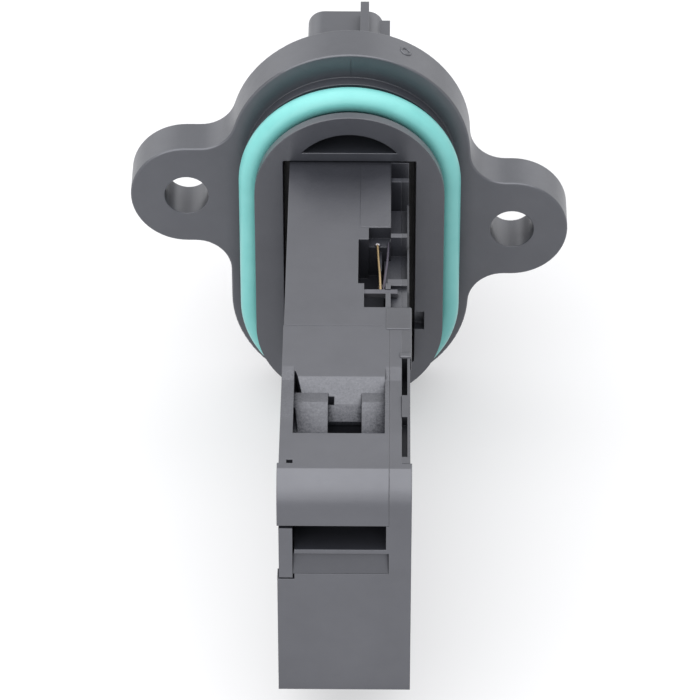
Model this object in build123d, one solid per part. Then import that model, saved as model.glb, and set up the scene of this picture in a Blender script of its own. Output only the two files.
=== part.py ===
from build123d import *
import os
from math import sqrt

# Plug-in mass airflow sensor: a moulded flange with a sealed boss, a flat probe that
# reaches into the air duct, and a connector shroud on the back.
# Millimetres. The origin is the centre of the flange's seating face.
# +X is across the flange, +Z is along the flange, and the probe runs along -Y.
# "Depth" below is the distance in front of the seating face, so y = -depth.

# Mounting flange
flange_half_width = 15.0
flange_half_length = 25.85
flange_thickness = 5.7
flange_edge_round = 0.2
ear_radius = 7.0
left_ear_x = -20.45
left_ear_z = 4.75
right_ear_x = 20.35
right_ear_z = -0.2
ear_blend = 4.5
screw_hole_radius = 2.75

# Sealed boss in front of the flange
boss_height = 7.7
shoulder_height = 1.55
shoulder_half_width = 13.2
shoulder_half_length = 22.6
lip_thickness = 1.25
lip_half_width = 11.7
lip_half_length = 21.8
cord_radius = 1.5
seal_seat_clearance = 0.03
groove_half_width = 10.74
groove_half_length = 20.07
groove_depth_centre = 3.35

# Half-moon pocket and key notch in the boss face
moon_half_chord = 5.85
moon_rise = 2.7
moon_chord_z = 16.6
moon_depth = 5.5
notch_width = 1.2
notch_height = 2.75
notch_z = -8.9
notch_depth = 1.5

# Well in the boss that takes the probe
well_side_gap = 0.85
well_end_gap = 0.25
well_corner = 0.2
well_floor = -1.0
foot_clearance = 0.05
foot_height = 2.5
bond_height = 1.1

# Probe moulding
root_half_width = 7.3
probe_half_chord = 15.18
probe_end = 70.0
shoulder_depth = 40.7
tip_half_width = 7.36
nose_half_width = 7.55
nose_radius = 3.8
nose_centre_drop = 3.68
end_block_length = 1.8

# Channel cover, the plate and hood on the -X side
side_plate = 1.55
roof_plate = 3.2
seam_x = 5.0
seam_gap = 0.015
cover_gap = 0.05
cover_tab_low_z = 1.64
tab_gap = 0.2
hood_gap = 0.4
hood_gap_depth = 1.0
corner_hole_x = -6.5
corner_hole_width = 0.7
corner_hole_length = 0.6
corner_hole_drop = 1.0

# Electronics cover on the +X side
lid_plate = 0.95
lid_start = 9.0
lid_rim = 0.25
lid_rim_height = 0.9
lid_slot_rim = 0.32
lid_first_slot = 46.9
lid_first_length = 6.9
lid_first_drop = 3.0
lid_second_slot = 57.8
lid_second_length = 7.2
lid_second_drop = 1.2

# Channel along the +X edge of the root, with its cross ribs
channel_x = 5.1
channel_drop = 5.9
panel_start = 13.3
panel_drop = 3.2
panel_x = 4.3
end_panel_drop = 0.8
rib_drop = 0.35
rib_thickness = 0.8
first_rib = 10.4
second_rib = 21.9
thick_rib = 31.1
thick_rib_x = 4.75
thick_rib_length = 1.3

# Thermistor window beside the channel, in three steps
window_drop = 5.8
window_start = 21.2
window_first_x = 2.46
shelf_length = 1.8
shelf_drop = 1.6
window_second = 23.6
window_second_x = 1.25
window_third_x = 1.97
window_third_far_x = 4.5
window_end = 37.1
divider_x = 3.75
divider_thickness = 0.3
divider_length = 5.5
divider_drop = 2.4

# Electronics compartment, open towards +X
bay_floor_x = -1.5
bay_low_z = -12.6
bay_pin_margin = 0.3
bay_end = 39.0
bay_corner = 0.8

# Weight-saving pockets in the -X side of the root
core_depth = 4.3
core_rib = 1.3
core_margin = 2.0
core_start = 10.5
core_columns = 3
core_rows = 3

# Air passage, open towards -X under the channel cover
passage_floor_x = 4.7
passage_low_z = -11.4
passage_root = 44.0
passage_far = 66.0
island_start = 52.0
island_low_z = -3.0
inlet_start = 56.0
inlet_length = 9.0
outlet_low_z = 5.76
outlet_high_z = 9.21
outlet_lip = 0.57
band_low_z = 2.22
band_depth = 0.35
passage_corner = 2.0

# Chute with two ledges in the roof of the channel cover
chute_left_x = -5.9
chute_right_x = 4.5
chute_start = 50.4
ramp_run = 1.8
ramp_fall = 0.95
ledge_run = 1.75
chute_slope = 0.466
gap_left_x = -2.0
gap_right_x = 1.85
tongue_run = 1.55
tongue_slope = 0.3
hook_length = 1.55
throat_length = 5.5
throat_relief = 0.4
hook_low_z = 12.45
hook_notch_width = 0.7
hook_notch_setback = 0.5
hook_notch_length = 1.1
slit_low_z = 12.6
first_slit_lead = 1.0
second_slit_setback = 0.65
slit_root_width = 0.15
slit_tip_width = 0.85

# Shallow dip in the top beside the chute
dip_lead = 1.9
dip_run = 2.3
dip_fall = 0.25

# Circuit parts inside the compartment
plate_thickness = 1.0
board_thickness = 0.8
board_margin = 0.3
board_start = 4.0
tongue_width = 7.0
tongue_tip_gap = 2.4
tongue_thickness = 0.8
tongue_clearance = 0.05
chip_size = 2.6
chip_thickness = 0.4
control_chip_size = 6.0
control_chip_height = 1.1
capacitor_length = 1.6
capacitor_width = 0.8
capacitor_height = 0.8
capacitor_count = 6
capacitor_pitch = 2.6
gel_height = 2.2

# Intake-air thermistor in the window
lead_radius = 0.18
lead_drop = 0.42
lead_root_drop = 1.9
lead_one_root_x = 3.3
lead_one_tip_x = 3.85
lead_two_root_x = 4.75
lead_two_tip_x = 4.28
bar_from_end = 3.2
bar_width = 0.8
bar_thickness = 0.6
bar_drop = 0.1
bar_far_x = 5.9
bead_radius = 0.6
bead_setback = 1.9
bead_clearance = 0.04

# Connector shroud on the back
shroud_x = -0.83
shroud_half_width = 4.85
shroud_half_length = 12.15
shroud_end = 31.0
shroud_corner = 2.1
shroud_wall = 1.3
socket_floor = 12.0
top_rib_x = 1.65
top_rib_thickness = 1.1
top_rib_rise = 2.15
side_rib_z = 10.4
side_rib_thickness = 2.0
side_rib_rise = 0.9
rib_setback = 1.0
latch_width = 6.0
latch_rise = 1.2
latch_length = 3.4
latch_setback = 7.0
latch_root = 0.5

# Connector pins and bond wires
pin_count = 5
pin_pitch = 3.6
pin_width = 1.5
pin_thickness = 0.64
pin_tip_setback = 7.0
pin_inner_reach = 3.2
pin_tip_taper = 0.35
bond_wire_radius = 0.15
bond_wire_inset = 0.6

# Values worked out from the sizes above
flange_straight = flange_half_length - flange_half_width
groove_end = boss_height - lip_thickness
well_half_width = root_half_width + well_side_gap
well_half_chord = probe_half_chord + well_end_gap
nose_start = probe_end - nose_radius
nose_centre_z = probe_half_chord - nose_centre_drop
roof_low_z = probe_half_chord - roof_plate
lid_inner_x = tip_half_width - lid_plate
plate_outer_x = -tip_half_width
plate_inner_x = plate_outer_x + side_plate
panel_z = probe_half_chord - panel_drop
rib_top_z = probe_half_chord - rib_drop
thick_rib_end = thick_rib + thick_rib_length
bar_depth = window_end - bar_from_end
bar_near = bar_depth - bar_width / 2
bar_far = bar_depth + bar_width / 2
bar_top_z = probe_half_chord - bar_drop
bar_low_z = bar_top_z - bar_thickness
lead_tip_z = probe_half_chord - lead_drop
lead_root_z = probe_half_chord - lead_root_drop
lead_root_depth = window_start + shelf_length
ledge_start = chute_start + ramp_run
ledge_end = ledge_start + ledge_run
ledge_z = probe_half_chord - ramp_fall
hook_start = ledge_start + tongue_run
hook_end = hook_start + hook_length
chute_end = hook_end + throat_length
dip_start = chute_start - dip_lead
last_pin_z = (pin_count - 1) / 2 * pin_pitch + pin_width / 2
bay_high_z = last_pin_z + bay_pin_margin
board_floor_x = bay_floor_x + plate_thickness
board_top_x = board_floor_x + board_thickness


def block(x_low, x_high, depth_low, depth_high, z_low, z_high):
    """A box between two X planes, two depths and two Z planes."""
    size = (x_high - x_low, depth_high - depth_low, z_high - z_low)
    middle = ((x_low + x_high) / 2, -(depth_low + depth_high) / 2, (z_low + z_high) / 2)
    return Pos(*middle) * Box(*size)


def prism_across(points, x_low, x_high):
    """A (depth, z) outline carried from one X plane to another."""
    outline = Polygon(*[(-depth, z) for depth, z in points], align=None)
    return extrude(Plane.YZ.offset(x_low) * outline, amount=x_high - x_low, dir=(1, 0, 0))


def prism_forward(sketch, depth_low, depth_high):
    """An X-Z sketch carried from one depth to a greater one."""
    return extrude(Plane.XZ.offset(depth_low) * sketch, amount=depth_high - depth_low)


def stadium(half_width, half_length):
    """A slot outline with its long axis along Z."""
    return SlotOverall(2 * half_length, 2 * half_width, rotation=90)


def edges_along(solid, axis):
    """The straight edges of a solid that run along one axis."""
    return solid.edges().filter_by(axis)


def probe_slab(x_low, x_high, depth_low, depth_high, z_high=probe_half_chord):
    """A slab of the probe between two X planes, from its leading side up."""
    return block(x_low, x_high, depth_low, depth_high, -probe_half_chord, z_high)


# Flange housing
def ear_outline(ear_x, ear_z):
    """One screw ear: a round end and the arm that joins it to the flange."""
    arm = Pos(ear_x / 2, ear_z) * Rectangle(abs(ear_x), 2 * ear_radius)
    return Pos(ear_x, ear_z) * Circle(ear_radius) + arm


def flange_plate():
    outline = stadium(flange_half_width, flange_half_length)
    outline += ear_outline(left_ear_x, left_ear_z)
    outline += ear_outline(right_ear_x, right_ear_z)
    outline = offset(outline, amount=ear_blend)
    outline = offset(outline, amount=-ear_blend)
    plate = prism_forward(outline, -flange_thickness, 0)
    rims = plate.faces().sort_by(Axis.Y)
    plate = fillet(rims[0].edges() + rims[-1].edges(), radius=flange_edge_round)
    hole = Circle(screw_hole_radius)
    plate -= prism_forward(Pos(left_ear_x, left_ear_z) * hole, -flange_thickness, 0)
    plate -= prism_forward(Pos(right_ear_x, right_ear_z) * hole, -flange_thickness, 0)
    return plate


def boss():
    shape = prism_forward(stadium(groove_half_width, groove_half_length), -1, boss_height)
    shape += prism_forward(stadium(shoulder_half_width, shoulder_half_length), -1, shoulder_height)
    shape += prism_forward(stadium(lip_half_width, lip_half_length), groove_end, boss_height)
    return shape


def half_moon():
    """The shallow pocket with a straight lower edge at the top of the boss face."""
    left = (-moon_half_chord, moon_chord_z)
    right = (moon_half_chord, moon_chord_z)
    top = (0, moon_chord_z + moon_rise)
    outline = make_face(ThreePointArc(left, top, right) + Line(right, left))
    return prism_forward(outline, boss_height - moon_depth, boss_height)


def well():
    """The deep rectangular hole for the probe, with the key notch beside it."""
    outline = RectangleRounded(2 * well_half_width, 2 * well_half_chord, well_corner)
    shape = prism_forward(outline, well_floor, boss_height)
    notch_far_x = well_half_width + notch_width
    notch_low_z = notch_z - notch_height / 2
    notch_high_z = notch_z + notch_height / 2
    shape += block(0, notch_far_x, boss_height - notch_depth, boss_height, notch_low_z, notch_high_z)
    return shape


def shroud():
    outline = RectangleRounded(2 * shroud_half_width, 2 * shroud_half_length, shroud_corner)
    shape = prism_forward(Pos(shroud_x) * outline, -shroud_end, -flange_thickness / 2)
    rib_back = -shroud_end + rib_setback
    rib_low_x = top_rib_x - top_rib_thickness / 2
    rib_high_x = top_rib_x + top_rib_thickness / 2
    rib_top_z = shroud_half_length + top_rib_rise
    shape += block(rib_low_x, rib_high_x, rib_back, -flange_thickness / 2, 0, rib_top_z)
    side_x = shroud_x + shroud_half_width + side_rib_rise
    side_low_z = side_rib_z - side_rib_thickness / 2
    side_high_z = side_rib_z + side_rib_thickness / 2
    shape += block(0, side_x, rib_back, -flange_thickness / 2, side_low_z, side_high_z)
    shape += latch_nose()
    return shape - socket()


def latch_nose():
    """The ramp on the -X side that a plug's locking bow snaps over."""
    step_y = shroud_end - latch_setback
    wall_x = shroud_x - shroud_half_width
    ramp = [
        (wall_x + latch_root, step_y),
        (wall_x - latch_rise, step_y),
        (wall_x, step_y + latch_length),
        (wall_x + latch_root, step_y + latch_length),
    ]
    return extrude(Polygon(*ramp, align=None), amount=latch_width / 2, both=True)


def socket():
    half_width = shroud_half_width - shroud_wall
    half_length = shroud_half_length - shroud_wall
    outline = RectangleRounded(2 * half_width, 2 * half_length, shroud_corner - shroud_wall)
    return prism_forward(Pos(shroud_x) * outline, -shroud_end, -socket_floor)


def pin_places():
    """The height of each connector pin."""
    return [(index - (pin_count - 1) / 2) * pin_pitch for index in range(pin_count)]


def pin_passage(z):
    half = pin_width / 2
    thick = pin_thickness / 2
    return block(shroud_x - thick, shroud_x + thick, -socket_floor, well_floor, z - half, z + half)


def flange_housing():
    shape = flange_plate() + boss() + shroud()
    shape -= well()
    shape -= half_moon()
    for z in pin_places():
        shape -= pin_passage(z)
    return shape


# Seal ring, a round cord in the groove of the boss
def seal_ring():
    half_width = groove_half_width + cord_radius + seal_seat_clearance
    half_length = groove_half_length + cord_radius + seal_seat_clearance
    straight = half_length - half_width
    right_side = Line((half_width, -straight), (half_width, straight))
    top = ThreePointArc((half_width, straight), (0, half_length), (-half_width, straight))
    left_side = Line((-half_width, straight), (-half_width, -straight))
    bottom = ThreePointArc((-half_width, -straight), (0, -half_length), (half_width, -straight))
    path = Plane.XZ.offset(groove_depth_centre) * (right_side + top + left_side + bottom)
    start = Plane(path @ 0, z_dir=path % 0)
    return sweep(start * Circle(cord_radius), path=path)


# Connector pins, flat blades moulded into the wall behind the socket
def connector_pin(z):
    half = pin_width / 2
    thick = pin_thickness / 2
    back = -shroud_end + pin_tip_setback
    blade = block(shroud_x - thick, shroud_x + thick, back, pin_inner_reach, z - half, z + half)
    tip = blade.faces().sort_by(Axis.Y)[-1]
    return chamfer(tip.edges().filter_by(Axis.X), length=pin_tip_taper)


def bond_wires():
    """Short arched wires from each pin to the board's top face."""
    wires = []
    pin_end = pin_inner_reach - bond_wire_inset
    board_end = board_start + bond_wire_inset
    middle = (pin_end + board_end) / 2
    pin_top = shroud_x + pin_thickness / 2
    board_top = board_top_x
    crown = board_top + (board_end - pin_end) / 2
    for z in pin_places():
        first = (pin_top + bond_wire_radius, -pin_end, z)
        crest = (crown + bond_wire_radius, -middle, z)
        last = (board_top + bond_wire_radius, -board_end, z)
        path = ThreePointArc(first, crest, last)
        start = Plane(path @ 0, z_dir=path % 0)
        wire = sweep(start * Circle(bond_wire_radius), path=path)
        wire -= block(pin_top - 1, pin_top, pin_end - 1, pin_inner_reach, z - 1, z + 1)
        wire -= block(board_top - 1, board_top, board_start, board_end + 1, z - 1, z + 1)
        wires.append(wire)
    return Compound(children=wires)


# Probe body
def root_foot():
    """The collar at the root that locates the probe in its well."""
    half_width = well_half_width - foot_clearance
    half_chord = well_half_chord - foot_clearance
    outline = RectangleRounded(2 * half_width, 2 * half_chord, well_corner)
    return prism_forward(outline, well_floor, well_floor + foot_height)


def nose_bar(x_low, x_high):
    """The hood over the tip: a crease in the level top, a quarter round and a flat front."""
    centre = Pos(-nose_start, nose_centre_z)
    round_part = extrude(Plane.YZ.offset(x_low) * centre * Circle(nose_radius), amount=x_high - x_low)
    shape = round_part + block(x_low, x_high, nose_start, probe_end, outlet_high_z, nose_centre_z)
    return shape & block(x_low, x_high, nose_start, probe_end, outlet_high_z, probe_half_chord)


def cover_seats():
    """Room for the channel cover: its side plate, roof and hood."""
    far = probe_end + 1
    left = -nose_half_width - 1
    roof_edge = seam_x + seam_gap
    plate_edge = plate_inner_x + cover_gap
    start = shoulder_depth - seam_gap
    block_start = probe_end - end_block_length - cover_gap
    cut = block(left, plate_edge, start, block_start, -probe_half_chord - 1, probe_half_chord + 1)
    tab_edge = plate_inner_x + tab_gap
    tab_low_z = cover_tab_low_z - tab_gap
    cut += block(left, tab_edge, block_start, far, tab_low_z, probe_half_chord + 1)
    cut += block(left, roof_edge, start, far, roof_low_z - cover_gap, probe_half_chord + 1)
    cut += block(left, roof_edge, nose_start - 1, far, outlet_high_z - cover_gap, roof_low_z)
    return cut


def passage():
    """The air way: in at the leading side, round the tongue and out at the tip."""
    outer = [
        (passage_root, passage_low_z),
        (passage_far, passage_low_z),
        (passage_far, outlet_high_z),
        (passage_root, outlet_high_z),
    ]
    shape = prism_across(outer, plate_inner_x - 1, passage_floor_x)
    shape = fillet(edges_along(shape, Axis.X), radius=passage_corner)
    island = block(
        plate_inner_x - 2, passage_floor_x + 1, island_start, probe_end, island_low_z, outlet_low_z
    )
    island = fillet(edges_along(island, Axis.X), radius=passage_corner)
    shape -= island
    inlet_end = inlet_start + inlet_length
    shape += block(
        plate_inner_x + side_plate, passage_floor_x, inlet_start, inlet_end,
        -probe_half_chord - 1, passage_low_z + passage_corner
    )
    shape += block(
        plate_inner_x, passage_floor_x, passage_root + passage_corner, probe_end + 1,
        outlet_low_z, outlet_high_z
    )
    return shape


def bay():
    """The electronics compartment, open at the root for the pins."""
    shape = block(bay_floor_x, tip_half_width + 1, well_floor - 1, bay_end, bay_low_z, bay_high_z)
    return fillet(edges_along(shape, Axis.X).sort_by(Axis.Y)[:2], radius=bay_corner)


def tongue_slit():
    half = tongue_width / 2 + tongue_clearance
    low_x = board_floor_x - tongue_clearance
    high_x = board_floor_x + tongue_thickness + tongue_clearance
    return block(low_x, high_x, bay_end - 1, passage_root + 1, -half, half)


def core_pockets():
    """Recesses in the -X side of the root that keep the walls even."""
    depth_span = shoulder_depth - core_margin - core_start
    z_span = 2 * (probe_half_chord - core_margin)
    cell_depth = (depth_span - (core_columns - 1) * core_rib) / core_columns
    cell_z = (z_span - (core_rows - 1) * core_rib) / core_rows
    pockets = []
    for column in range(core_columns):
        for row in range(core_rows):
            near = core_start + column * (cell_depth + core_rib)
            low = -z_span / 2 + row * (cell_z + core_rib)
            far_x = -root_half_width + core_depth
            pocket = block(-root_half_width - 1, far_x, near, near + cell_depth, low, low + cell_z)
            pockets.append(fillet(edges_along(pocket, Axis.X), radius=bay_corner))
    return pockets


def cross_rib(far_x, start, length):
    """A rib left standing across the channel."""
    low = probe_half_chord - channel_drop - 1
    return block(panel_x, far_x + 1, start, start + length, low, rib_top_z)


def deep_channel(far_x):
    """The deep part of the channel, next to the boss."""
    low = probe_half_chord - channel_drop
    cut = block(channel_x, far_x, boss_height, panel_start, low, probe_half_chord + 1)
    return cut - cross_rib(far_x, first_rib, rib_thickness)


def panels(far_x):
    """The shallow parts of the channel beyond it."""
    top = probe_half_chord + 1
    end = shoulder_depth - core_margin
    end_panel_z = probe_half_chord - end_panel_drop
    cut = block(channel_x, far_x, panel_start, thick_rib_end, panel_z, top)
    cut += block(panel_x, far_x, window_second, thick_rib, panel_z, top)
    cut += block(panel_x, channel_x, thick_rib, thick_rib_end, rib_top_z, top)
    cut += block(channel_x, far_x, thick_rib_end, end, end_panel_z, top)
    cut -= cross_rib(far_x, second_rib, rib_thickness)
    return cut - cross_rib(far_x, thick_rib, thick_rib_length)


def window():
    """The deep stepped opening under the thermistor, and the seat for its bar."""
    low = probe_half_chord - window_drop
    top = probe_half_chord + 1
    shelf_end = window_start + shelf_length
    shelf_z = probe_half_chord - shelf_drop
    cut = block(window_first_x, channel_x, window_start, shelf_end, shelf_z, top)
    cut += block(window_first_x, channel_x, shelf_end, window_second, low, top)
    cut += block(window_second_x, panel_x, window_second, thick_rib, low, top)
    cut += block(window_second_x, thick_rib_x, thick_rib, thick_rib_end, low, top)
    cut += block(window_third_x, window_third_far_x, thick_rib_end, window_end, low, top)
    divider_far = divider_x + divider_thickness
    divider_end = window_start + divider_length
    divider_top_z = probe_half_chord - divider_drop
    cut -= block(divider_x, divider_far, window_start, divider_end, low - 1, divider_top_z)
    return cut + block(window_third_x, bar_far_x, bar_near, bar_far, bar_low_z, top)


def probe_body():
    shape = root_foot()
    shape += probe_slab(-root_half_width, root_half_width, well_floor, shoulder_depth)
    end_start = probe_end - end_block_length
    shape += probe_slab(-tip_half_width, lid_inner_x, shoulder_depth, nose_start)
    shape += probe_slab(-tip_half_width, lid_inner_x, nose_start, end_start, nose_centre_z)
    shape += probe_slab(-nose_half_width, nose_half_width, end_start, probe_end, nose_centre_z)
    shape += nose_bar(seam_x - 1, nose_half_width)
    shape += probe_slab(0, nose_half_width, nose_start, probe_end, nose_centre_z)
    shape -= cover_seats()
    shape -= lid_seat()
    shape -= passage()
    shape -= bay()
    shape -= tongue_slit()
    shape -= chute_throat()
    shape -= deep_channel(tip_half_width + 1)
    shape -= panels(tip_half_width + 1)
    shape -= window()
    shape -= dip(seam_x - 1, lid_inner_x)
    for pocket in core_pockets():
        shape -= pocket
    band_top = outlet_low_z - outlet_lip
    shape -= block(
        plate_inner_x, seam_x, probe_end - band_depth, probe_end + 1, band_low_z, band_top
    )
    return shape


# Covers
def lid_seat():
    """The step in the body that the electronics cover lies in."""
    far_x = tip_half_width + 2
    return block(
        lid_inner_x, far_x, lid_start - cover_gap, nose_start, -probe_half_chord - 1, probe_half_chord + 1
    )


def electronics_cover():
    shape = probe_slab(lid_inner_x, tip_half_width, lid_start, nose_start - cover_gap)
    step_end = shoulder_depth - core_margin
    inner_edge = root_half_width - lid_rim
    far_x = tip_half_width + 1
    top = probe_half_chord + 1
    shape -= deep_channel(far_x)
    shape -= panels(inner_edge)
    rim_top = panel_z + lid_rim_height
    shape -= block(inner_edge, far_x, panel_start, step_end, rim_top, top)
    shape -= block(root_half_width, far_x, lid_start - 1, step_end, -probe_half_chord - 1, top)
    shape -= lid_slot(lid_first_slot, lid_first_length, lid_first_drop)
    shape -= lid_slot(lid_second_slot, lid_second_length, lid_second_drop)
    return shape


def lid_slot(start, length, drop):
    """A slot between the electronics cover's outer wall and the body."""
    far_x = tip_half_width - lid_slot_rim
    low = probe_half_chord - drop
    return block(lid_inner_x - 1, far_x, start, start + length, low, probe_half_chord + 1)


def dip(x_low, x_high):
    """A shallow dip in the level top: a short facet down, then a long slope back up."""
    profile = [
        (dip_start, probe_half_chord),
        (dip_start + dip_run, probe_half_chord - dip_fall),
        (chute_end, probe_half_chord),
        (chute_end, probe_half_chord + 1),
        (dip_start, probe_half_chord + 1),
    ]
    return prism_across(profile, x_low, x_high)


def chute():
    """The stepped recess in the roof: a ramp, two ledges, and a hooked tongue between them."""
    top = probe_half_chord + 1
    floor_z = ledge_z - chute_slope * (chute_end - ledge_end)
    profile = [
        (chute_start, probe_half_chord),
        (ledge_start, ledge_z),
        (ledge_end, ledge_z),
        (chute_end, floor_z),
        (chute_end, top),
        (chute_start, top),
    ]
    shape = prism_across(profile, chute_left_x, chute_right_x)
    hook_z = ledge_z - tongue_slope * tongue_run
    throat_low_z = outlet_high_z - 1
    tongue = [
        (ledge_start, ledge_z),
        (hook_start, hook_z),
        (hook_end, hook_low_z),
        (hook_end, throat_low_z),
        (chute_end, throat_low_z),
        (chute_end, top),
        (ledge_start, top),
    ]
    shape += prism_across(tongue, gap_left_x, gap_right_x)
    notch_start = ledge_start + hook_notch_setback
    notch_end = notch_start + hook_notch_length
    notch_far_x = gap_left_x + hook_notch_width
    shape += block(gap_left_x, notch_far_x, notch_start, notch_end, throat_low_z, top)
    shape += side_slit(chute_start - first_slit_lead, ledge_start)
    shape += side_slit(ledge_end + second_slit_setback, chute_end)
    return shape


def side_slit(depth_low, depth_high):
    """A narrow slit down the -X side of a ramp that widens towards the tip."""
    outline = [
        (chute_left_x, -depth_low),
        (chute_left_x + slit_root_width, -depth_low),
        (chute_left_x + slit_tip_width, -depth_high),
        (chute_left_x, -depth_high),
    ]
    slit = Plane.XY.offset(slit_low_z) * Polygon(*outline, align=None)
    return extrude(slit, amount=probe_half_chord + 1 - slit_low_z, dir=(0, 0, 1))


def chute_throat():
    """The opening through the wall below the chute, a little wider than the cover's own."""
    low_x = gap_left_x - throat_relief
    high_x = gap_right_x + throat_relief
    start = hook_end - throat_relief
    end = chute_end + throat_relief
    return block(low_x, high_x, start, end, outlet_high_z - 1, roof_low_z + 1)


def channel_cover():
    plate_end = probe_end - end_block_length - 2 * cover_gap
    top = probe_half_chord
    shape = probe_slab(plate_outer_x, plate_inner_x, shoulder_depth, plate_end)
    shape += block(plate_outer_x, plate_inner_x, shoulder_depth, probe_end, cover_tab_low_z, top)
    shape += block(plate_outer_x, seam_x, shoulder_depth, nose_start, roof_low_z, top)
    shape -= block(plate_outer_x, plate_inner_x, nose_start, probe_end + 1, outlet_high_z, top + 1)
    shape += nose_bar(-nose_half_width, seam_x)
    shape -= block(
        plate_outer_x - 1, plate_inner_x, probe_end - hood_gap_depth, probe_end + 1,
        outlet_high_z - hood_gap, outlet_high_z
    )
    shape -= chute()
    shape -= dip(-nose_half_width, chute_left_x)
    shape -= dip(chute_right_x, seam_x + 1)
    hole_far_x = corner_hole_x + corner_hole_width
    hole_start = nose_start - corner_hole_length
    shape -= block(corner_hole_x, hole_far_x, hole_start, nose_start, top - corner_hole_drop, top + 1)
    return shape


# Circuit parts
def base_plate():
    low_z = bay_low_z + board_margin
    high_z = bay_high_z - board_margin
    return block(bay_floor_x, board_floor_x, board_start, bay_end - board_margin, low_z, high_z)


def circuit_board():
    low_z = bay_low_z + board_margin
    high_z = bay_high_z - board_margin
    end = bay_end - board_margin
    shape = block(board_floor_x, board_top_x, board_start, end, low_z, high_z)
    half = tongue_width / 2
    return shape - block(board_floor_x, board_top_x, end - tongue_width, end, -half, half)


def sensor_tongue():
    """The narrow carrier that holds the sensing chip in the air way."""
    half = tongue_width / 2
    start = bay_end - board_margin - tongue_width
    top_x = board_floor_x + tongue_thickness
    shape = block(board_floor_x, top_x, start, island_start - tongue_tip_gap, -half, half)
    corners = edges_along(shape, Axis.X).sort_by(Axis.Y)[:2]
    return fillet(corners, radius=bay_corner)


def on_tongue_top(size_depth, size_z, height, depth):
    top_x = board_floor_x + tongue_thickness
    return block(top_x, top_x + height, depth, depth + size_depth, -size_z / 2, size_z / 2)


def sensing_chip():
    start = (passage_root + island_start - tongue_tip_gap - chip_size) / 2
    return on_tongue_top(chip_size, chip_size, chip_thickness, start)


def control_chip():
    start = board_start + 3 * pin_pitch
    half = control_chip_size / 2
    top = board_top_x + control_chip_height
    shape = block(board_top_x, top, start, start + control_chip_size, -half, half)
    return chamfer(shape.faces().sort_by(Axis.X)[-1].edges(), length=0.15)


def chip_capacitors():
    pieces = []
    near = board_start + pin_pitch
    low_z = bay_low_z + 4 * board_margin
    for index in range(capacitor_count):
        start = near + index * capacitor_pitch
        top = board_top_x + capacitor_height
        pieces.append(block(board_top_x, top, start, start + capacitor_width, low_z, low_z + capacitor_length))
    return Compound(children=pieces)


def silicone_gel():
    """The clear potting that covers the board, poured round its parts."""
    low_z = bay_low_z + board_margin
    high_z = bay_high_z - board_margin
    end = bay_end - board_margin
    shape = block(board_top_x, board_top_x + gel_height, board_start + pin_pitch / 2, end, low_z, high_z)
    shape -= control_chip()
    shape -= chip_capacitors()
    return shape


def probe_bond():
    """The bead of sealant round the probe at the bottom of its well."""
    start = well_floor + foot_height
    outer = RectangleRounded(2 * well_half_width, 2 * well_half_chord, well_corner)
    ring = prism_forward(outer, start, start + bond_height)
    inner = probe_slab(-root_half_width, root_half_width, start - 1, start + bond_height + 1)
    return ring - inner


# Intake-air thermistor
def thermistor_lead(root_x, tip_x):
    """One lead wire, from the step at the window's root side to the back of the bar."""
    root = Vector(root_x, -lead_root_depth, lead_root_z)
    tip = Vector(tip_x, -bar_near, lead_tip_z)
    end = Plane.XZ.offset(lead_root_depth) * Pos(root_x, lead_root_z) * Circle(lead_radius)
    return extrude(end, amount=(tip - root).length, dir=tip - root)


def thermistor_bar():
    """The flat bar across the window that the leads run to."""
    return block(window_third_x, bar_far_x, bar_near, bar_far, bar_low_z, bar_top_z)


def along_lead(depth, root_value, tip_value):
    """A lead's X or Z at one depth between its two ends."""
    share = (depth - lead_root_depth) / (bar_near - lead_root_depth)
    return root_value + share * (tip_value - root_value)


def thermistor_bead():
    """The glass bead that hangs under the two leads."""
    depth = bar_near - bead_setback
    first_x = along_lead(depth, lead_one_root_x, lead_one_tip_x)
    second_x = along_lead(depth, lead_two_root_x, lead_two_tip_x)
    reach = bead_radius + lead_radius + bead_clearance
    drop = sqrt(reach ** 2 - ((second_x - first_x) / 2) ** 2)
    lead_z = along_lead(depth, lead_root_z, lead_tip_z)
    return Pos((first_x + second_x) / 2, -depth, lead_z - drop) * Sphere(bead_radius)


def save(name, shape):
    export_step(shape, f"parts/{name}.step")


def main():
    os.makedirs("parts", exist_ok=True)
    save("flange_housing", flange_housing())
    save("seal_ring", seal_ring())
    save("probe_body", probe_body())
    save("channel_cover", channel_cover())
    save("electronics_cover", electronics_cover())
    save("probe_bond", probe_bond())
    save("base_plate", base_plate())
    save("circuit_board", circuit_board())
    save("sensor_tongue", sensor_tongue())
    save("sensing_chip", sensing_chip())
    save("control_chip", control_chip())
    save("chip_capacitors", chip_capacitors())
    save("silicone_gel", silicone_gel())
    save("bond_wires", bond_wires())
    save("thermistor_lead_1", thermistor_lead(lead_one_root_x, lead_one_tip_x))
    save("thermistor_lead_2", thermistor_lead(lead_two_root_x, lead_two_tip_x))
    save("thermistor_bar", thermistor_bar())
    save("thermistor_bead", thermistor_bead())
    for number, z in enumerate(pin_places(), start=1):
        save(f"connector_pin_{number}", connector_pin(z))


main()
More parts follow.
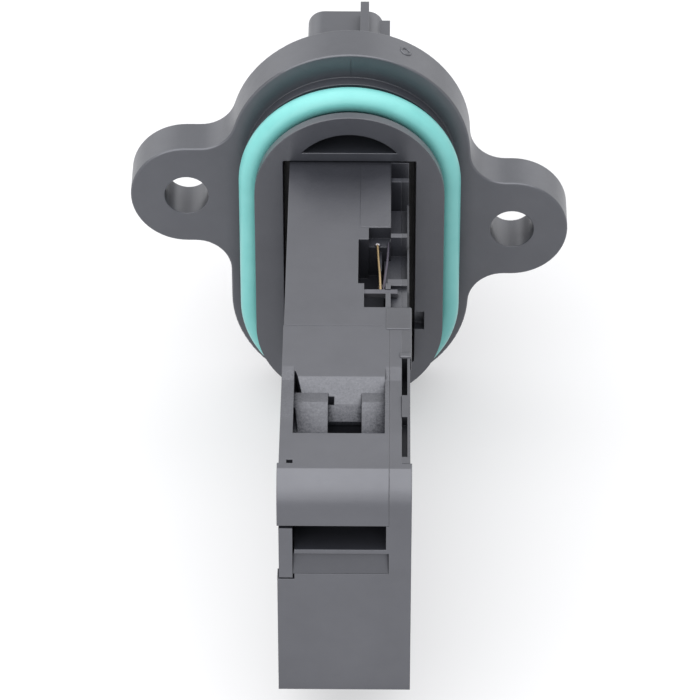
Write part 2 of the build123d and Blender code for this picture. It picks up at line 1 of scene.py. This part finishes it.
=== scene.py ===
import bmesh
import bpy
import math
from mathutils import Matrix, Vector


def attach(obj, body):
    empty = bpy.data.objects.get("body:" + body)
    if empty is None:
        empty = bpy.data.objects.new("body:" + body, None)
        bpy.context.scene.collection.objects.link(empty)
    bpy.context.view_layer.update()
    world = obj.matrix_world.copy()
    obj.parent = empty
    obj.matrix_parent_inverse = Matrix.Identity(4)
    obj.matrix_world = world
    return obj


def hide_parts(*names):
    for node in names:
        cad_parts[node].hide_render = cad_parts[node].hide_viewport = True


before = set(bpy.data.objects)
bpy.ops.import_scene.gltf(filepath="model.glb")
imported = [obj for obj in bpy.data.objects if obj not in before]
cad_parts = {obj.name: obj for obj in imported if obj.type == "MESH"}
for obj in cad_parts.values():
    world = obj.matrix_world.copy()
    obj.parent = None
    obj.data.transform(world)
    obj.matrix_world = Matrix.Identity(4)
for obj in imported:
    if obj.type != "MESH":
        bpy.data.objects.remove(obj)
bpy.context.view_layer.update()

MM = 0.001
WHITE = (1.0, 1.0, 1.0, 1.0)

# Camera at the photograph's angle
CAMERA_AZIMUTH = math.radians(0.54)
CAMERA_ELEVATION = math.radians(37.38)
CAMERA_DISTANCE = 0.558
CAMERA_LENS = 223.22
CAMERA_CLIP = (0.01, 20.0)
SENSOR_WIDTH = 36.0
AIM = Vector((0.0, 0.0, -0.0195))

# Ambient light, floor and backdrop
AMBIENT_COLOUR = (0.96, 0.97, 1.0, 1.0)
AMBIENT_STRENGTH = 0.55
SEEN_STRENGTH = 1.0
FLOOR_Z = -0.0262
FLOOR_SIZE = 6.0
FLOOR_COLOUR = (0.54, 0.54, 0.545, 1.0)
FLOOR_GLOW = 0.34

# The slightly cool sheen of the moulded plastics
PLASTIC_SHEEN = (0.92, 0.93, 1.0, 1.0)

# Painted shade in recesses: the gloss is turned down where ambient occlusion finds little open
# space. How far the open space is felt, the level that is left, and the openness at which it is
# lowest and at which it is full
DEEP_RECESS_PAINTED_SHADE = {"reach": 14 * MM, "lowest": 0.12, "openness": (0.48, 1.0)}
SHALLOW_RECESS_PAINTED_SHADE = {"reach": 3.5 * MM, "lowest": 0.5, "openness": (0.3, 0.85)}
PAINTED_SHADE_SAMPLES = 8

# The part of a noise's range over which a colour runs from dark to light
NOISE_SPAN = (0.3, 0.7)

# The softened edge of a moulding, and the samples that smooth it
MOULDED_EDGE = 0.15 * MM
EDGE_SAMPLES = 6

# The grained stretch of the chute: where it starts, where it ends and the roof's
# height, and how much its grit adds to the grain's height and to the sheen
CHUTE_ZONE = (-0.0492, -0.0616, 0.01512)
CHUTE_GRIT_HEIGHT = 5.0
CHUTE_GRIT_SHEEN = 0.9

# Wires: steps between two points, roundness of the section, order of the spline
WIRE_STEPS = 10
WIRE_ROUNDNESS = 5
WIRE_ORDER = 4

# The lines of the leads, of the stub under the bar and of the parting line, in
# millimetres as all the small details below
GOLD_LEAD_LINE = (
    (3.5, -22.75, 13.75), (3.56, -23.8, 13.76), (3.62, -26.4, 13.97),
    (3.84, -29.8, 14.42), (3.9, -33.5, 14.78),
)
DULL_LEAD_LINE = (
    (4.86, -22.4, 13.73), (4.82, -23.6, 13.72), (4.7, -27.0, 13.98),
    (4.36, -30.4, 14.47), (4.28, -33.5, 14.78),
)
BAR_STUB_LINE = (
    (4.8, -33.9, 14.76), (4.83, -34.8, 14.72), (4.84, -35.6, 14.52), (4.84, -36.2, 14.36),
)
PARTING_LINE = ((0.1, 0.0, 22.8), (0.1, -0.01, 23.8), (0.11, -0.01, 24.8), (0.1, 0.0, 25.5))
GOLD_LEAD_RADIUS = 0.15
DULL_LEAD_RADIUS = 0.14
PARTING_RADIUS = 0.035

# The weld that holds the gold lead: its share of ripple and where its foot is cut flat
WELD_CENTRE = (3.5, -22.72, 13.73)
WELD_HALF_SIZES = (0.34, 0.26, 0.2)
WELD_RIPPLE = 0.06
WELD_FOOT = -0.6

# The raised ring on the flange's rim
FLANGE_RADIUS = 15.0
FLANGE_STRAIGHT = 10.85
RIM_MARK_X = 6.84
RIM_MARK_Y = 3.4
RIM_MARK_RADIUS = 0.62
RIM_MARK_WIRE = 0.2
RIM_MARK_FLATNESS = 0.6
RIM_MARK_STEPS = 40
RIM_MARK_SIDES = 8

# The slanting face under the outlet
BAND_LOW_X, BAND_HIGH_X = -5.78, 4.98
BAND_LOW_Z, BAND_HIGH_Z = 2.23, 5.18
BAND_FRONT_Y, BAND_BACK_Y = -69.99, -69.66
BAND_CUTS = 4


def srgb(red, green, blue):
    """A colour given in 0 to 255 display values, as linear light."""
    def linear(value):
        value = value / 255
        return value / 12.92 if value <= 0.04045 else ((value + 0.055) / 1.055) ** 2.4
    return (linear(red), linear(green), linear(blue), 1.0)


def shaded(colour, factor):
    """A colour made darker or lighter."""
    return tuple(min(1.0, channel * factor) for channel in colour[:3]) + (1.0,)


def seen_rays(nodes, links):
    """1 for a ray from the camera, from a mirror or through glass, 0 for the others."""
    path = nodes.new("ShaderNodeLightPath")
    seen = path.outputs["Is Camera Ray"]
    for kind in ("Is Glossy Ray", "Is Transmission Ray"):
        either = nodes.new("ShaderNodeMath")
        either.operation = "MAXIMUM"
        links.new(seen, either.inputs[0])
        links.new(path.outputs[kind], either.inputs[1])
        seen = either.outputs["Value"]
    return seen


class Material:
    """A small helper that makes a node material and wires its nodes."""

    def __init__(self, name):
        self.material = bpy.data.materials.new(name)
        self.material.use_nodes = True
        self.nodes = self.material.node_tree.nodes
        self.links = self.material.node_tree.links
        self.nodes.clear()
        self.output = self.nodes.new("ShaderNodeOutputMaterial")
        self.shader = self.nodes.new("ShaderNodeBsdfPrincipled")
        self.links.new(self.shader.outputs["BSDF"], self.output.inputs["Surface"])

    def node(self, kind, **settings):
        """A new node with its settings."""
        made = self.nodes.new(kind)
        for key, value in settings.items():
            setattr(made, key, value)
        return made

    def set(self, **values):
        """Sets the shader's own sockets, named with _ for each space."""
        for key, value in values.items():
            self.shader.inputs[key.replace("_", " ")].default_value = value

    def link(self, source, target):
        self.links.new(source, target)

    def feed(self, source, socket):
        """Links a value that varies over the surface to one of the shader's sockets."""
        self.link(source, self.shader.inputs[socket])

    def noise(self, scale, detail, roughness=0.5):
        """Noise that sits still on the object, with its scale in cells per metre."""
        place = self.node("ShaderNodeTexCoord")
        made = self.node("ShaderNodeTexNoise")
        made.inputs["Scale"].default_value = scale
        made.inputs["Detail"].default_value = detail
        made.inputs["Roughness"].default_value = roughness
        self.link(place.outputs["Object"], made.inputs["Vector"])
        return made.outputs["Fac"]

    def ramp(self, source, low, high):
        """Runs from one colour to another over the middle of a noise's range."""
        made = self.node("ShaderNodeValToRGB")
        stops = made.color_ramp.elements
        stops[0].position, stops[1].position = NOISE_SPAN
        stops[0].color, stops[1].color = low, high
        self.link(source, made.inputs["Fac"])
        return made.outputs["Color"]

    def remap(self, source, low, high, span=(0.0, 1.0)):
        """Turns a span of the source into the range from low to high."""
        made = self.node("ShaderNodeMapRange")
        made.inputs["From Min"].default_value = span[0]
        made.inputs["From Max"].default_value = span[1]
        made.inputs["To Min"].default_value = low
        made.inputs["To Max"].default_value = high
        self.link(source, made.inputs["Value"])
        return made.outputs["Result"]

    def calc(self, operation, first, second):
        """One sum on two values, each a number or a socket."""
        made = self.node("ShaderNodeMath", operation=operation)
        for value, socket in zip((first, second), made.inputs):
            if isinstance(value, float):
                socket.default_value = value
            else:
                self.link(value, socket)
        return made.outputs["Value"]

    def zone(self, near_y, far_y, top_z):
        """1 between two stations along the probe and under a height, 0 elsewhere."""
        place = self.node("ShaderNodeTexCoord")
        split = self.node("ShaderNodeSeparateXYZ")
        self.link(place.outputs["Object"], split.inputs["Vector"])
        past = self.calc("LESS_THAN", split.outputs["Y"], near_y)
        before = self.calc("GREATER_THAN", split.outputs["Y"], far_y)
        under = self.calc("LESS_THAN", split.outputs["Z"], top_z)
        return self.calc("MULTIPLY", self.calc("MULTIPLY", past, before), under)

    def painted_recess_shade(self, reach, lowest, openness):
        """Painted shade: low in recesses that light hardly enters, and 1 on open faces, taken from
        ambient occlusion.
        """
        shade = self.node("ShaderNodeAmbientOcclusion", samples=PAINTED_SHADE_SAMPLES)
        shade.inputs["Distance"].default_value = reach
        return self.remap(shade.outputs["AO"], lowest, 1.0, span=openness)

    def bump(self, height, strength, distance, edge=0.0):
        """Fine relief, on edges that are softened by the given radius."""
        made = self.node("ShaderNodeBump")
        made.inputs["Strength"].default_value = strength
        made.inputs["Distance"].default_value = distance
        self.link(height, made.inputs["Height"])
        if edge:
            bevel = self.node("ShaderNodeBevel", samples=EDGE_SAMPLES)
            bevel.inputs["Radius"].default_value = edge
            self.link(bevel.outputs["Normal"], made.inputs["Normal"])
        self.feed(made.outputs["Normal"], "Normal")


def moulded_plastic(name, colour, ior, edge=MOULDED_EDGE, roughness=(0.32, 0.4),
                    recess_painted_shade=DEEP_RECESS_PAINTED_SHADE, coarse=None):
    """Satin glass-filled plastic: faint mottle, fine grain, softened edges, and painted shade that
    turns the gloss down in recesses.
    """
    made = Material(name)
    mottle = made.noise(scale=260.0, detail=5.0, roughness=0.6)
    made.feed(made.ramp(mottle, shaded(colour, 0.9), shaded(colour, 1.1)), "Base Color")
    made.feed(made.remap(made.noise(scale=900.0, detail=3.0), *roughness), "Roughness")
    made.set(IOR=ior, Specular_IOR_Level=1.0, Specular_Tint=PLASTIC_SHEEN)
    blotch = made.remap(made.noise(scale=150.0, detail=4.0, roughness=0.6), low=0.86, high=1.14)
    # Painted shade: the gloss level falls in recesses by ambient occlusion, times a random blotch
    gloss_with_painted_shade = made.calc("MULTIPLY", made.painted_recess_shade(**recess_painted_shade), blotch)
    height = made.noise(scale=5200.0, detail=3.0, roughness=0.6)
    if coarse:
        grit = made.calc("SUBTRACT", made.noise(scale=3600.0, detail=4.0, roughness=0.7), 0.5)
        grit = made.calc("MULTIPLY", made.zone(*coarse), grit)
        height = made.calc("ADD", height, made.calc("MULTIPLY", grit, CHUTE_GRIT_HEIGHT))
        gloss_with_painted_shade = made.calc("ADD", gloss_with_painted_shade, made.calc("MULTIPLY", grit, CHUTE_GRIT_SHEEN))
    made.feed(gloss_with_painted_shade, "Specular IOR Level")
    made.bump(height, strength=0.25, distance=0.04 * MM, edge=edge)
    return made.material


def plain_surface(name, colour, roughness, metallic=0.0):
    """A simple surface with a little grain, for the small and inner parts."""
    made = Material(name)
    tone = made.noise(scale=600.0, detail=3.0)
    made.feed(made.ramp(tone, shaded(colour, 0.92), shaded(colour, 1.06)), "Base Color")
    spots = made.noise(scale=1400.0, detail=2.0)
    made.feed(made.remap(spots, roughness * 0.85, roughness * 1.15), "Roughness")
    made.set(Metallic=metallic)
    made.bump(made.noise(scale=2500.0, detail=2.0), strength=0.2, distance=0.02 * MM)
    return made.material


def seal_material():
    """Smooth teal rubber with a soft sheen."""
    made = Material("teal_seal_rubber")
    tone = made.noise(scale=300.0, detail=3.0)
    made.feed(made.ramp(tone, srgb(116, 192, 188), srgb(124, 198, 194)), "Base Color")
    spots = made.noise(scale=1200.0, detail=2.0)
    made.feed(made.remap(spots, low=0.3, high=0.42), "Roughness")
    made.bump(made.noise(scale=3000.0, detail=2.0), strength=0.1, distance=0.02 * MM)
    return made.material


def gel_material():
    """Clear soft potting gel."""
    made = Material("clear_gel")
    made.set(Base_Color=(0.9, 0.93, 0.95, 1.0), Roughness=0.08, IOR=1.41, Transmission_Weight=0.9)
    made.bump(made.noise(scale=500.0, detail=2.0), strength=0.1, distance=0.05 * MM)
    return made.material


def board_material():
    """Green solder mask with faint tracks."""
    made = Material("green_board")
    place = made.node("ShaderNodeTexCoord")
    brick = made.node("ShaderNodeTexBrick")
    brick.inputs["Scale"].default_value = 900.0
    brick.inputs["Color1"].default_value = srgb(28, 84, 52)
    brick.inputs["Color2"].default_value = srgb(34, 98, 60)
    brick.inputs["Mortar"].default_value = srgb(22, 68, 44)
    made.link(place.outputs["Object"], brick.inputs["Vector"])
    made.feed(brick.outputs["Color"], "Base Color")
    made.set(Roughness=0.35)
    made.bump(made.noise(scale=2000.0, detail=2.0), strength=0.1, distance=0.02 * MM)
    return made.material


def dress(node, material):
    """Gives a solid of the frame its finish."""
    mesh_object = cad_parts[node]
    mesh_object.data.materials.clear()
    mesh_object.data.materials.append(material)


def finished_mesh(name, shape):
    """Turns a bmesh into a mesh and lets go of it."""
    mesh = bpy.data.meshes.new(name)
    shape.to_mesh(mesh)
    shape.free()
    return mesh


def new_piece(name, mesh, material, smooth=True):
    """An object of the scene's own that rides on the part and takes the given finish."""
    piece = bpy.data.objects.new(name, mesh)
    bpy.context.collection.objects.link(piece)
    mesh.materials.clear()
    mesh.materials.append(material)
    for face in mesh.polygons:
        face.use_smooth = smooth
    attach(piece, "root")
    return piece


def wire_mesh(name, points, radius):
    """A round wire along a smooth line, as a mesh."""
    curve = bpy.data.curves.new(name + "_line", "CURVE")
    curve.dimensions = "3D"
    curve.resolution_u = WIRE_STEPS
    curve.bevel_depth = radius * MM
    curve.bevel_resolution = WIRE_ROUNDNESS
    curve.use_fill_caps = True
    spline = curve.splines.new("NURBS")
    spline.points.add(len(points) - 1)
    for place, point in zip(points, spline.points):
        point.co = (place[0] * MM, place[1] * MM, place[2] * MM, 1.0)
    spline.order_u = WIRE_ORDER
    spline.use_endpoint_u = True
    holder = bpy.data.objects.new(name + "_line", curve)
    mesh = bpy.data.meshes.new_from_object(holder)
    bpy.data.objects.remove(holder)
    bpy.data.curves.remove(curve)
    mesh.name = name
    return mesh


def wire_piece(name, points, radius, material):
    """A round wire as a piece of its own, given in millimetres."""
    return new_piece(name, wire_mesh(name, points, radius), material)


def lead_weld(material):
    """A small bead of weld metal on the gold lead, flattened where it sits."""
    shape = bmesh.new()
    bmesh.ops.create_icosphere(shape, subdivisions=3, radius=1.0)
    for vert in shape.verts:
        ripple = 1.0 + WELD_RIPPLE * math.sin(3.0 * vert.co.x + 2.0 * vert.co.y)
        vert.co = Vector((
            WELD_CENTRE[0] + WELD_HALF_SIZES[0] * ripple * vert.co.x,
            WELD_CENTRE[1] + WELD_HALF_SIZES[1] * ripple * vert.co.y,
            WELD_CENTRE[2] + WELD_HALF_SIZES[2] * max(vert.co.z, WELD_FOOT),
        )) * MM
    new_piece("lead_weld", finished_mesh("lead_weld", shape), material)


def dress_leads(gold, tinned):
    """The two thermistor leads with their soft bends, and the weld that holds the first."""
    lead = wire_piece("gold_lead_bent", GOLD_LEAD_LINE, GOLD_LEAD_RADIUS, gold)
    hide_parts("thermistor_lead_1")
    lead = wire_piece("dull_lead_bent", DULL_LEAD_LINE, DULL_LEAD_RADIUS, tinned)
    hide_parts("thermistor_lead_2")
    lead_weld(plain_surface("weld_metal", srgb(148, 146, 151), 0.4, metallic=1.0))


def rim_mark(material):
    """The small raised ring that the mould leaves on the flange's rim."""
    angle = math.asin(RIM_MARK_X / FLANGE_RADIUS)
    outward = Vector((math.sin(angle), 0.0, math.cos(angle)))
    across = Vector((math.cos(angle), 0.0, -math.sin(angle)))
    centre = Vector((0.0, RIM_MARK_Y, FLANGE_STRAIGHT)) + FLANGE_RADIUS * outward
    shape = bmesh.new()
    rings = []
    for index in range(RIM_MARK_STEPS):
        turn = 2 * math.pi * index / RIM_MARK_STEPS
        radial = across * math.cos(turn) + Vector((0.0, math.sin(turn), 0.0))
        profile = []
        for step in range(RIM_MARK_SIDES):
            lean = 2 * math.pi * step / RIM_MARK_SIDES
            reach = RIM_MARK_RADIUS + RIM_MARK_WIRE * math.cos(lean)
            place = centre + radial * reach
            # The rim curves away under the ring
            drop = FLANGE_RADIUS - math.sqrt(FLANGE_RADIUS ** 2 - (radial.dot(across) * reach) ** 2)
            place += outward * (RIM_MARK_WIRE * RIM_MARK_FLATNESS * math.sin(lean) - drop)
            profile.append(shape.verts.new(place * MM))
        rings.append(profile)
    for near, far in zip(rings, rings[1:] + rings[:1]):
        for step in range(RIM_MARK_SIDES):
            after = (step + 1) % RIM_MARK_SIDES
            shape.faces.new((near[step], near[after], far[after], far[step]))
    bmesh.ops.recalc_face_normals(shape, faces=shape.faces)
    mesh = finished_mesh("rim_ring_mark", shape)
    new_piece("rim_ring_mark", mesh, material)


def moulded_block(name, low, high, chamfer, material):
    """A moulded pad or lip with chamfered edges, between two corners in millimetres."""
    shape = bmesh.new()
    bmesh.ops.create_cube(shape, size=1.0)
    for vert in shape.verts:
        vert.co = Vector([
            (low[axis] + (high[axis] - low[axis]) * (vert.co[axis] + 0.5)) * MM for axis in range(3)
        ])
    bmesh.ops.bevel(
        shape, geom=shape.edges[:], offset=chamfer * MM, segments=2, profile=0.5, affect="EDGES"
    )
    new_piece(name, finished_mesh(name, shape), material, smooth=False)


def edge_details(lid, body):
    """The small steps along the +X edge and the plain pad on the root."""
    moulded_block(
        "lid_pad", low=(4.55, -41.45, 14.2), high=(7.54, -37.15, 15.27), chamfer=0.16,
        material=lid,
    )
    moulded_block(
        "lid_side_lip", low=(7.2, -46.1, 12.8), high=(7.56, -37.2, 15.2), chamfer=0.1,
        material=lid,
    )
    moulded_block(
        "slot_end_step", low=(6.15, -46.85, 14.9), high=(7.5, -45.8, 15.33), chamfer=0.2,
        material=lid,
    )
    moulded_block(
        "root_pad", low=(1.4, -21.1, 14.9), high=(4.98, -8.1, 15.21), chamfer=0.02,
        material=body,
    )


def outlet_band(material):
    """The slanting face under the outlet, set back at its top and flush at its foot."""
    profile = (
        (BAND_BACK_Y, BAND_LOW_Z), (BAND_FRONT_Y, BAND_LOW_Z), (BAND_BACK_Y, BAND_HIGH_Z)
    )
    shape = bmesh.new()
    left, right = (
        [shape.verts.new((x * MM, y * MM, z * MM)) for y, z in profile]
        for x in (BAND_LOW_X, BAND_HIGH_X)
    )
    shape.faces.new(left)
    shape.faces.new(right)
    for first, second in ((0, 1), (1, 2), (2, 0)):
        shape.faces.new((left[first], left[second], right[second], right[first]))
    bmesh.ops.recalc_face_normals(shape, faces=shape.faces)
    bmesh.ops.subdivide_edges(shape, edges=shape.edges, cuts=BAND_CUTS, use_grid_fill=True)
    mesh = finished_mesh("outlet_band_face", shape)
    new_piece("outlet_band_face", mesh, material, smooth=False)


def dress_all():
    """Gives every solid its finish and adds the small pieces of the scene's own."""
    housing = moulded_plastic("housing_grey", srgb(40, 42, 47), ior=1.62, recess_painted_shade=SHALLOW_RECESS_PAINTED_SHADE)
    body = moulded_plastic("probe_grey", srgb(43, 44, 49), ior=1.63)
    cover = moulded_plastic("cover_grey", srgb(44, 45, 50), ior=1.64, coarse=CHUTE_ZONE)
    lid = moulded_plastic("lid_grey", srgb(42, 43, 47), ior=1.58, edge=0.1 * MM)
    gold = plain_surface("gold_lead", srgb(184, 160, 120), 0.35, metallic=1.0)
    tinned = plain_surface("tinned_lead", srgb(92, 88, 100), 0.45, metallic=0.9)
    bar = plain_surface("tinned_bar", srgb(100, 100, 106), 0.5, metallic=0.9)
    pins = plain_surface("tinned_pin", srgb(214, 208, 196), 0.28, metallic=1.0)
    dress_leads(gold, tinned)
    finishes = {
        "flange_housing": housing,
        "seal_ring": seal_material(),
        "probe_body": body,
        "channel_cover": cover,
        "electronics_cover": lid,
        "probe_bond": plain_surface("black_sealant", srgb(24, 24, 27), 0.35),
        "base_plate": plain_surface("plate_metal", srgb(176, 178, 182), 0.4, metallic=1.0),
        "circuit_board": board_material(),
        "sensor_tongue": plain_surface("ceramic", srgb(226, 226, 218), 0.5),
        "sensing_chip": plain_surface("silicon", srgb(58, 62, 82), 0.15),
        "control_chip": plain_surface("chip_epoxy", srgb(28, 28, 31), 0.55),
        "chip_capacitors": plain_surface("capacitor_ceramic", srgb(158, 126, 92), 0.5),
        "silicone_gel": gel_material(),
        "bond_wires": plain_surface("wire_aluminium", srgb(212, 213, 216), 0.25, metallic=1.0),
        "thermistor_bar": bar,
        "thermistor_bead": plain_surface("bead_glass", srgb(40, 34, 34), 0.15),
    }
    for node, material in finishes.items():
        dress(node, material)
    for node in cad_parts:
        if node.startswith("connector_pin_"):
            dress(node, pins)
    edge_details(lid, body)
    wire_piece("bar_stub", BAR_STUB_LINE, DULL_LEAD_RADIUS, bar)
    rim_mark(housing)
    # The fine line that the mould leaves down the flange's front, above the boss
    wire_piece("flange_parting_line", PARTING_LINE, PARTING_RADIUS, housing)
    # Painted shade: the face under the outlet gets a darker, duller copy of the cover's plastic,
    # standing for the shade under the nose
    outlet_band(moulded_plastic("band_grey_painted_shade", srgb(33, 34, 39), ior=1.56, roughness=(0.42, 0.52)))


def add_camera():
    """The camera looks at the aim point from the photograph's direction."""
    data = bpy.data.cameras.new("camera")
    data.lens = CAMERA_LENS
    data.sensor_width = SENSOR_WIDTH
    data.clip_start, data.clip_end = CAMERA_CLIP
    camera = bpy.data.objects.new("camera", data)
    bpy.context.collection.objects.link(camera)
    back = Vector((
        math.sin(CAMERA_AZIMUTH) * math.cos(CAMERA_ELEVATION),
        -math.cos(CAMERA_AZIMUTH) * math.cos(CAMERA_ELEVATION),
        math.sin(CAMERA_ELEVATION),
    ))
    camera.location = AIM + CAMERA_DISTANCE * back
    camera.rotation_euler = (math.pi / 2 - CAMERA_ELEVATION, 0.0, CAMERA_AZIMUTH)
    bpy.context.scene.camera = camera


def add_area(name, place, target, width, height, watts):
    """A soft rectangular lamp that points at a target."""
    data = bpy.data.lights.new(name, "AREA")
    data.shape = "RECTANGLE"
    data.size = width
    data.size_y = height
    data.energy = watts
    lamp = bpy.data.objects.new(name, data)
    bpy.context.collection.objects.link(lamp)
    lamp.location = place
    lamp.rotation_euler = (Vector(target) - Vector(place)).to_track_quat("-Z", "Y").to_euler()
    return lamp


def add_lights():
    """A wide softbox overhead, a weak fill in front and two cards that only mirror in the gloss."""
    add_area(
        "overhead_softbox", place=(-0.3, -0.55, 0.9), target=(-0.3, -0.55, 0.0),
        width=2.0, height=2.3, watts=25.0,
    )
    add_area(
        "front_fill", place=(-0.35, -0.9, 0.1), target=(0.0, 0.0, 0.0),
        width=0.8, height=0.8, watts=3.5,
    )
    for name, side in (("back_card_left", -0.62), ("back_card_right", 0.55)):
        card = add_area(
            name, place=(side, 0.85, 0.36), target=(0.0, 0.0, 0.02),
            width=0.7, height=0.7, watts=0.7,
        )
        card.visible_diffuse = False


def add_world():
    """A white surround that the camera and mirror-like surfaces see, with softer ambient light."""
    world = bpy.data.worlds.new("studio")
    bpy.context.scene.world = world
    world.use_nodes = True
    nodes, links = world.node_tree.nodes, world.node_tree.links
    nodes.clear()
    output = nodes.new("ShaderNodeOutputWorld")
    ambient = nodes.new("ShaderNodeBackground")
    ambient.inputs["Color"].default_value = AMBIENT_COLOUR
    ambient.inputs["Strength"].default_value = AMBIENT_STRENGTH
    surround = nodes.new("ShaderNodeBackground")
    surround.inputs["Color"].default_value = WHITE
    surround.inputs["Strength"].default_value = SEEN_STRENGTH
    mix = nodes.new("ShaderNodeMixShader")
    links.new(seen_rays(nodes, links), mix.inputs["Fac"])
    links.new(ambient.outputs["Background"], mix.inputs[1])
    links.new(surround.outputs["Background"], mix.inputs[2])
    links.new(mix.outputs["Shader"], output.inputs["Surface"])


def add_floor():
    """A pale floor that renders white but keeps the shadow."""
    bpy.ops.mesh.primitive_plane_add(size=FLOOR_SIZE, location=(0, 0, FLOOR_Z))
    floor = bpy.context.object
    floor.name = "floor"
    made = Material("floor_white")
    made.set(Base_Color=FLOOR_COLOUR, Roughness=0.9, Specular_IOR_Level=0.0)
    glow = made.node("ShaderNodeEmission")
    glow.inputs["Color"].default_value = WHITE
    glow.inputs["Strength"].default_value = FLOOR_GLOW
    add = made.node("ShaderNodeAddShader")
    mix = made.node("ShaderNodeMixShader")
    made.link(made.shader.outputs["BSDF"], add.inputs[0])
    made.link(glow.outputs["Emission"], add.inputs[1])
    made.link(seen_rays(made.nodes, made.links), mix.inputs["Fac"])
    made.link(made.shader.outputs["BSDF"], mix.inputs[1])
    made.link(add.outputs["Shader"], mix.inputs[2])
    made.link(mix.outputs["Shader"], made.output.inputs["Surface"])
    floor.data.materials.append(made.material)


dress_all()
add_camera()
add_lights()
add_world()
add_floor()
bpy.context.scene.view_settings.view_transform = "Standard"
